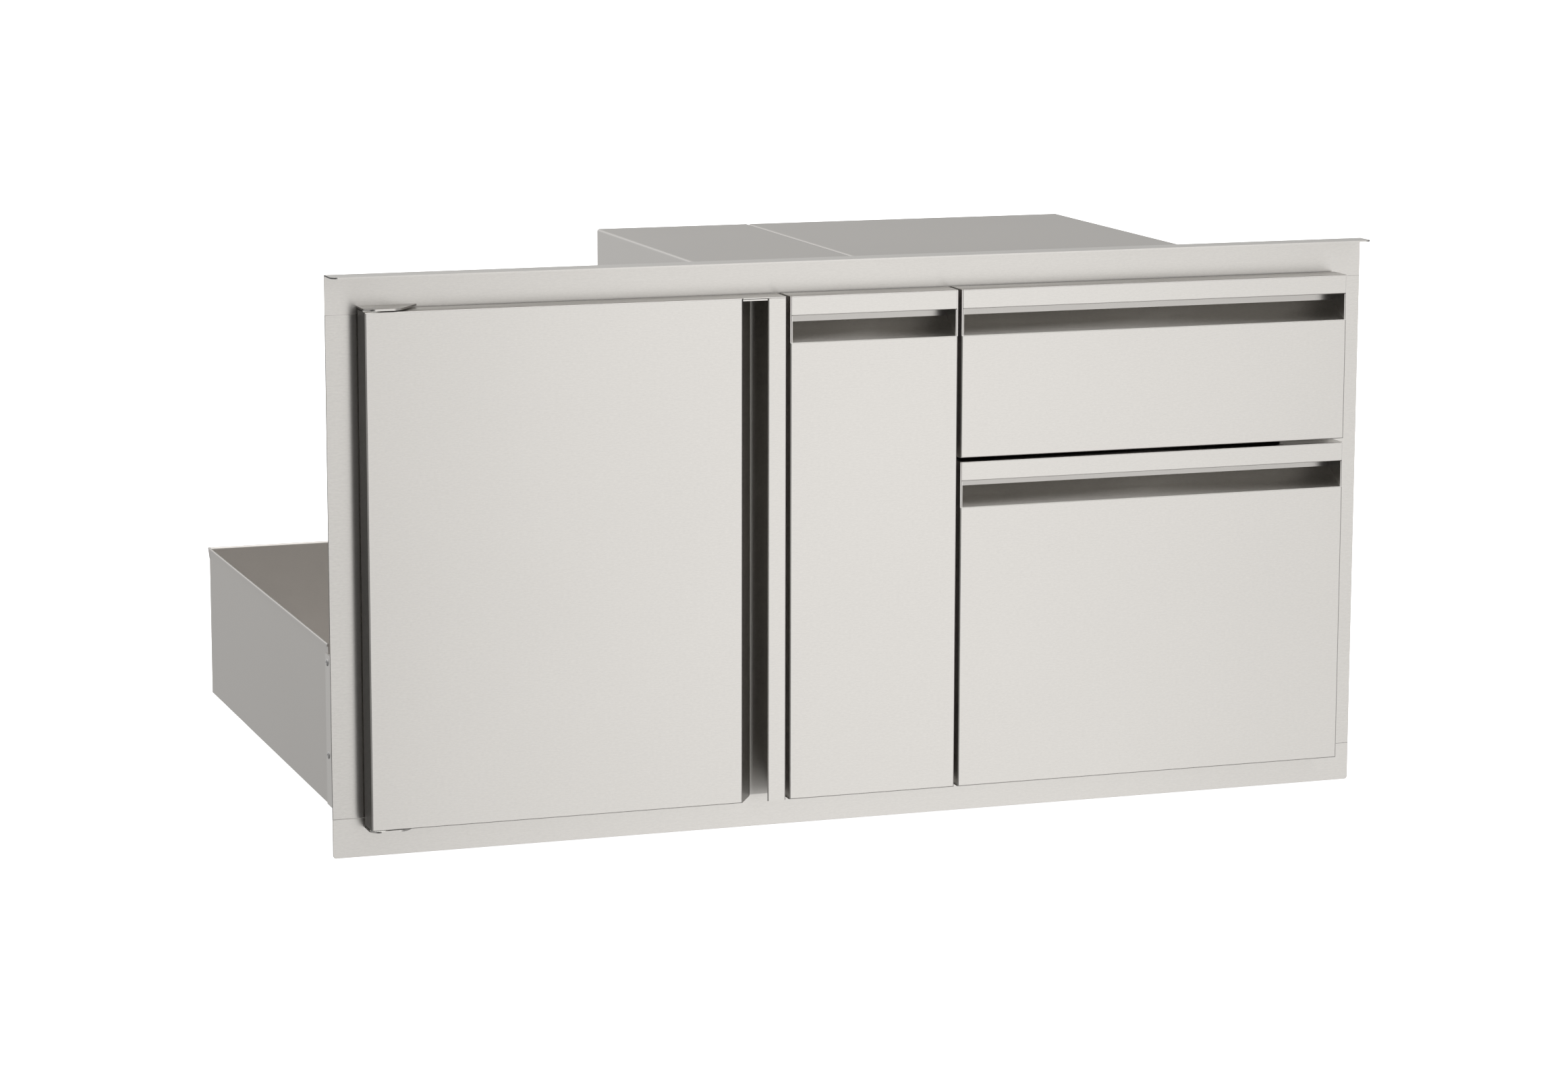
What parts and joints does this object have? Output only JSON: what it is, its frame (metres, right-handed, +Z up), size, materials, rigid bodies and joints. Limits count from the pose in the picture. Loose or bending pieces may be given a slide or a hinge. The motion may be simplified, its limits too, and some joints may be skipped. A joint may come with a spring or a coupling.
{
  "type": "door and drawer combo",
  "caption": "Built-in stainless outdoor-kitchen front with a hinged door over an open tub, a narrow tall pull-out and stacked drawers, all with folded finger pulls.",
  "frame": {"origin": "middle of the bottom edge of the face frame, on the back face of the flange that lies against the island", "axes": "+X to the right seen from the front, +Y into the island, +Z up"},
  "size_m": [1.0668, 0.6555, 0.5588],
  "materials": {
    "front_steel": "fine brushed stainless",
    "case_steel": "mill-finish stainless",
    "box_steel": "satin stainless",
    "slide_steel": "zinc-plated steel",
    "fastener_steel": "stainless fasteners",
    "rubber": "matt black",
    "nylon": "natural nylon",
    "magnet": "coated magnet"
  },
  "bodies": {
    "cabinet": {"case_backs": "case_steel", "case_floors": "case_steel", "catch_bracket": "front_steel", "catch_magnet": "magnet", "frame_bottom_rail": "front_steel", "frame_left_stile": "front_steel", "frame_mullions": "front_steel", "frame_right_stile": "front_steel", "frame_top_rail": "front_steel", "hinge_pins": "fastener_steel", "hinge_plates": "front_steel", "lower_slide_outers": "slide_steel", "mount_collars": "case_steel", "narrow_case_top": "case_steel", "narrow_case_walls": "case_steel", "pullout_slide_outers": "slide_steel", "rain_lip": "front_steel", "right_case_top": "case_steel", "right_case_walls": "case_steel", "slide_spacers": "slide_steel", "tub_back_wall": "case_steel", "tub_floor": "case_steel", "tub_rivets": "fastener_steel", "tub_side_walls": "case_steel", "upper_slide_outers": "slide_steel"},
    "door": {"door_back_panel": "front_steel", "door_bumpers": "rubber", "door_bushes": "nylon", "door_front": "front_steel", "door_handle_cap": "front_steel", "door_hinge_blocks": "front_steel", "door_strike_plate": "fastener_steel"},
    "pullout": {"pullout_back_panel": "front_steel", "pullout_box_floor": "box_steel", "pullout_box_walls": "box_steel", "pullout_bumpers": "rubber", "pullout_front": "front_steel", "pullout_front_screws": "fastener_steel", "pullout_pull_end_caps": "front_steel", "pullout_slide_inners": "slide_steel"},
    "pullout_runners": {"pullout_slide_middles": "slide_steel"},
    "upper_drawer": {"upper_back_panel": "front_steel", "upper_box_floor": "box_steel", "upper_box_walls": "box_steel", "upper_bumpers": "rubber", "upper_front": "front_steel", "upper_front_screws": "fastener_steel", "upper_pull_end_caps": "front_steel", "upper_slide_inners": "slide_steel"},
    "upper_runners": {"upper_slide_middles": "slide_steel"},
    "lower_drawer": {"lower_back_panel": "front_steel", "lower_box_floor": "box_steel", "lower_box_walls": "box_steel", "lower_bumpers": "rubber", "lower_front": "front_steel", "lower_front_screws": "fastener_steel", "lower_pull_end_caps": "front_steel", "lower_slide_inners": "slide_steel"},
    "lower_runners": {"lower_slide_middles": "slide_steel"}
  },
  "joints": [
    {"name": "door_hinge", "type": "hinge", "parent": "cabinet", "child": "door", "pos_m": [-0.4938, -0.0235, 0.2794], "axis": [0, 0, -1], "range_deg": [0, 110]},
    {"name": "pullout_slide", "type": "slide", "parent": "cabinet", "child": "pullout", "axis": [0, -1, 0], "range_m": [0, 0.5]},
    {"name": "pullout_runner_slide", "type": "slide", "parent": "cabinet", "child": "pullout_runners", "axis": [0, -1, 0], "range_m": [0, 0.25]},
    {"name": "upper_drawer_slide", "type": "slide", "parent": "cabinet", "child": "upper_drawer", "axis": [0, -1, 0], "range_m": [0, 0.5]},
    {"name": "upper_runner_slide", "type": "slide", "parent": "cabinet", "child": "upper_runners", "axis": [0, -1, 0], "range_m": [0, 0.25]},
    {"name": "lower_drawer_slide", "type": "slide", "parent": "cabinet", "child": "lower_drawer", "axis": [0, -1, 0], "range_m": [0, 0.5]},
    {"name": "lower_runner_slide", "type": "slide", "parent": "cabinet", "child": "lower_runners", "axis": [0, -1, 0], "range_m": [0, 0.25]}
  ],
  "couplings": [
    {"joint": "pullout_runner_slide", "follows": "pullout_slide", "ratio": 0.5},
    {"joint": "upper_runner_slide", "follows": "upper_drawer_slide", "ratio": 0.5},
    {"joint": "lower_runner_slide", "follows": "lower_drawer_slide", "ratio": 0.5}
  ]
}
